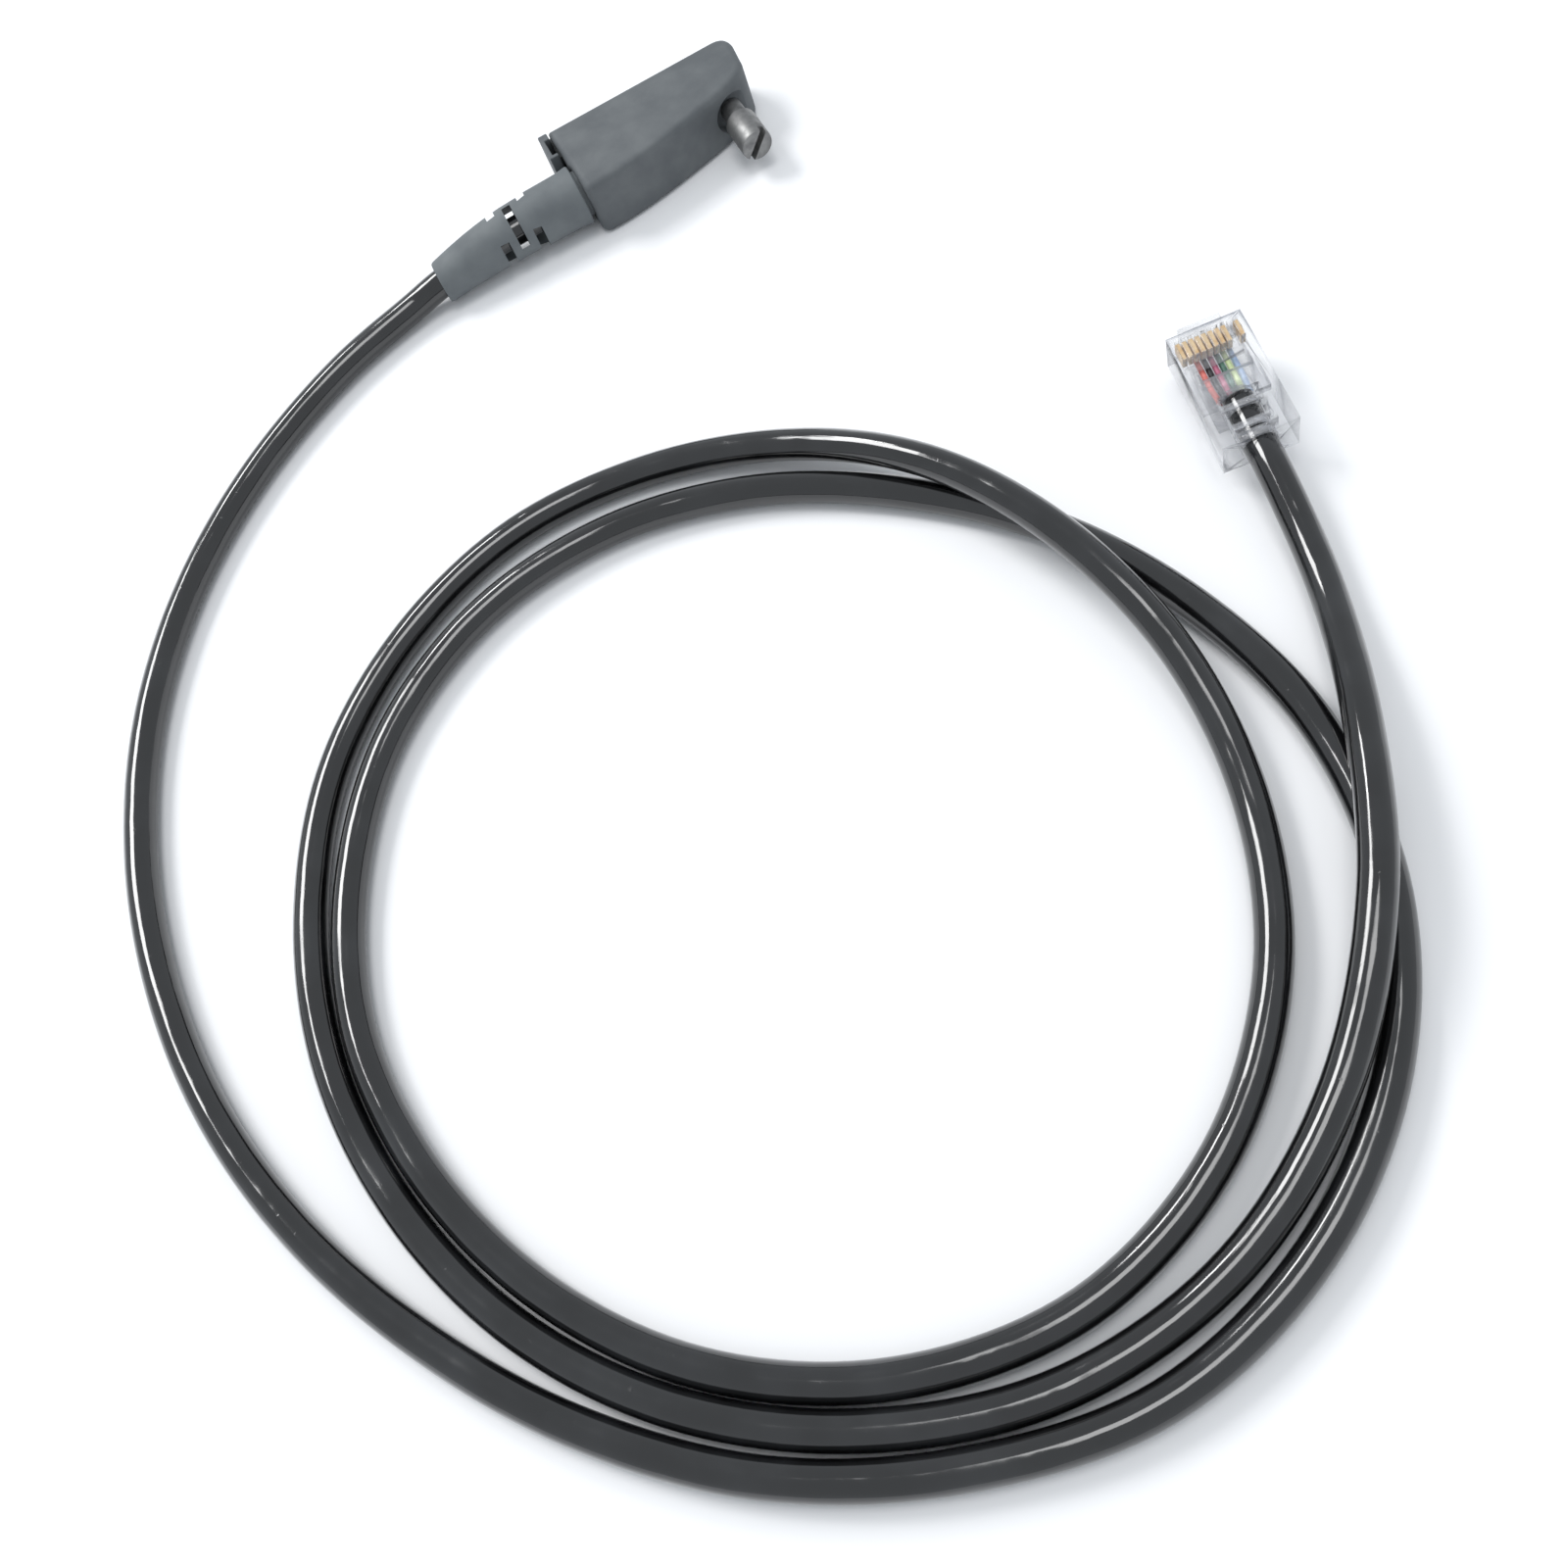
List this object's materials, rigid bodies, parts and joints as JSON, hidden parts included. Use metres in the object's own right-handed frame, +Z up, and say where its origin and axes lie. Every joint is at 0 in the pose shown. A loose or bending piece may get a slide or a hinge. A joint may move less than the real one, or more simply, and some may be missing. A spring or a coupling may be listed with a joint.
{
  "type": "radio programming cable",
  "caption": "Looped black programming cable with a grey side connector, captive thumb screw and slotted strain relief on one end and a clear modular plug on the other.",
  "frame": {"origin": "on the resting plane, under the middle of the connector with its screw", "axes": "+X from the cable end of the connector towards its screw end, +Y out of the radio face, +Z up from the bench"},
  "size_m": [0.1951, 0.2413, 0.0114],
  "materials": {
    "grey_shell": "matte moulded dark grey",
    "dark_insert": "matte darker grey",
    "boot_rubber": "matte soft moulded grey",
    "screw_metal": "satin turned metal",
    "gold": "gold plated",
    "black_jacket": "glossy, slightly wavy black jacket",
    "clear_plastic": "clear moulded",
    "red_insulation": "coloured wire insulation",
    "black_insulation": "coloured wire insulation",
    "crimson_insulation": "coloured wire insulation",
    "dark_green_insulation": "coloured wire insulation",
    "yellow_green_insulation": "coloured wire insulation",
    "blue_insulation": "coloured wire insulation"
  },
  "bodies": {
    "connector": {"connector_housing": "grey_shell", "contact_insert": "dark_insert", "radio_contact_1": "gold", "radio_contact_2": "gold", "radio_contact_3": "gold", "radio_contact_4": "gold", "radio_contact_5": "gold", "radio_contact_6": "gold", "radio_contact_7": "gold", "radio_contact_8": "gold", "radio_contact_9": "gold", "strain_relief_boot": "boot_rubber", "plug_body": "clear_plastic", "plug_contact_1": "gold", "plug_contact_2": "gold", "plug_contact_3": "gold", "plug_contact_4": "gold", "plug_contact_5": "gold", "plug_contact_6": "gold", "plug_contact_7": "gold", "plug_contact_8": "gold", "plug_contact_10": "gold", "wire_red": "red_insulation", "wire_black": "black_insulation", "wire_crimson": "crimson_insulation", "wire_dark_green": "dark_green_insulation", "wire_yellow_green": "yellow_green_insulation", "wire_blue": "blue_insulation", "cable": "black_jacket", "cable_end_in_plug": "black_jacket", "cable_end_in_boot": "black_jacket"},
    "thumb_screw": {"thumb_screw": "screw_metal"}
  },
  "joints": [
    {"name": "thumb_screw_turn", "type": "hinge", "parent": "connector", "child": "thumb_screw", "pos_m": [0.01355, -0.005, 0.0057], "axis": [0, 1, 0], "continuous": true}
  ]
}
